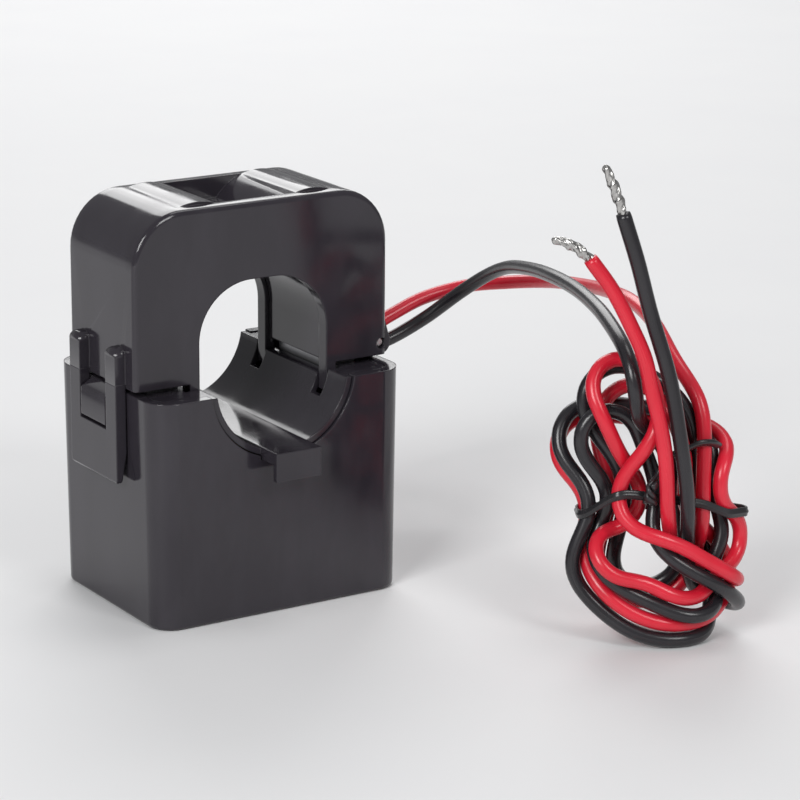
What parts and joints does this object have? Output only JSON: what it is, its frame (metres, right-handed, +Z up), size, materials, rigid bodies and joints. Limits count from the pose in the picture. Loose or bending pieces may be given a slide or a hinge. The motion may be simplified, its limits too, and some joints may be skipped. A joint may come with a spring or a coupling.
{
  "type": "split core current transformer",
  "caption": "Hinged split-core current transformer: boxy glossy black case, snap latch, U-shaped cap over a round conductor window, red and black leads in a tied bundle.",
  "frame": {"origin": "centre of the case's flat base", "axes": "+X from the latch side to the hinge side, +Y along the conductor from front to back, +Z up through the cap"},
  "size_m": [0.0955, 0.1017, 0.0773],
  "materials": {
    "housing_plastic": "glossy moulded black, faint flow marks",
    "core_steel": "strip-wound grain-oriented steel, ground pole faces",
    "bobbin_plastic": "matte natural nylon",
    "copper_wire": "enamelled fine wire in layers",
    "winding_tape": "thin yellow film tape",
    "spring_steel": "bright drawn steel",
    "red_insulation": "smooth glossy red insulation",
    "black_insulation": "smooth glossy black insulation",
    "tinned_strand": "twisted tinned strands",
    "tie_plastic": "black coated wire tie"
  },
  "bodies": {
    "case": {"lower_case": "housing_plastic", "bore_saddle": "housing_plastic", "lower_core": "core_steel", "bobbin": "bobbin_plastic", "secondary_winding": "copper_wire", "winding_tape": "winding_tape", "red_splice_sleeve": "red_insulation", "black_splice_sleeve": "black_insulation", "hinge_pin": "spring_steel", "red_lead": "red_insulation", "black_lead": "black_insulation", "lead_hank": "red_insulation", "red_lead_end": "red_insulation", "black_lead_end": "black_insulation", "red_tinned_end": "tinned_strand", "black_tinned_end": "tinned_strand", "twist_tie": "tie_plastic"},
    "cap": {"upper_case": "housing_plastic", "cap_liner": "housing_plastic", "upper_core": "core_steel", "core_spring": "spring_steel"},
    "latch": {"latch_arm": "housing_plastic"}
  },
  "joints": [
    {"name": "lid_hinge", "type": "hinge", "parent": "case", "child": "cap", "pos_m": [0.0223, 0, 0.0402], "axis": [0, 1, 0], "range_deg": [0, 100], "deforming": ["latch_arm"]},
    {"name": "latch_flex", "type": "hinge", "parent": "cap", "child": "latch", "pos_m": [-0.025, 0, 0.0389], "axis": [0, 1, 0], "range_deg": [0, 15], "stiffness_Nm_per_rad": 0.02}
  ]
}
